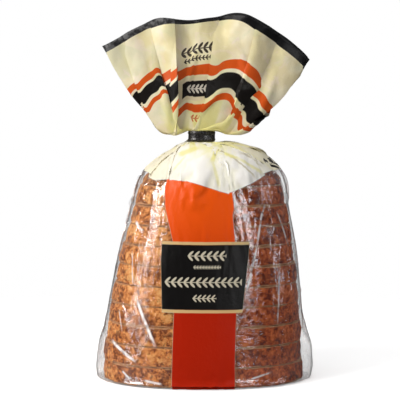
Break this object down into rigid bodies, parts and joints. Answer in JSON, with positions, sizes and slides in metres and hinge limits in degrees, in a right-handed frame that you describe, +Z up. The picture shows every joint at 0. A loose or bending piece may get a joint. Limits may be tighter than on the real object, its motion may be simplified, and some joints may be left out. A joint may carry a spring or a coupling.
{
  "type": "wholemeal loaf",
  "caption": "Sliced half loaf of wholemeal bread standing on its cut face in a film bag that is gathered by a flat tie under a fanned open mouth.",
  "frame": {"origin": "middle of the base of the whole object's bounding box, on the surface that it stands on", "axes": "+Z up through the stacked slices to the tie and the bag's mouth, +X to the right when the loaf's domed crust faces the viewer, -Y out of that domed crust (the front), +Y out of the flatter oven-side crust (the back)"},
  "size_m": [0.145, 0.0886, 0.247],
  "materials": {
    "bread": "matt brown wholemeal crust round a paler open crumb",
    "heel_crust": "matt dark brown baked crust",
    "bag_film": "thin glossy clear film, printed cream over the shoulder and the fan, with an orange band and a black panel on the front",
    "tie_plastic": "satin black plastic strip over two wires"
  },
  "bodies": {
    "root": {"slice_01": "bread", "slice_02": "bread", "slice_03": "bread", "slice_04": "bread", "slice_05": "bread", "slice_06": "bread", "slice_07": "bread", "slice_08": "bread", "slice_09": "bread", "slice_10": "bread", "heel_slice": "heel_crust", "film_bag": "bag_film", "neck_tie": "tie_plastic"}
  },
  "joints": []
}
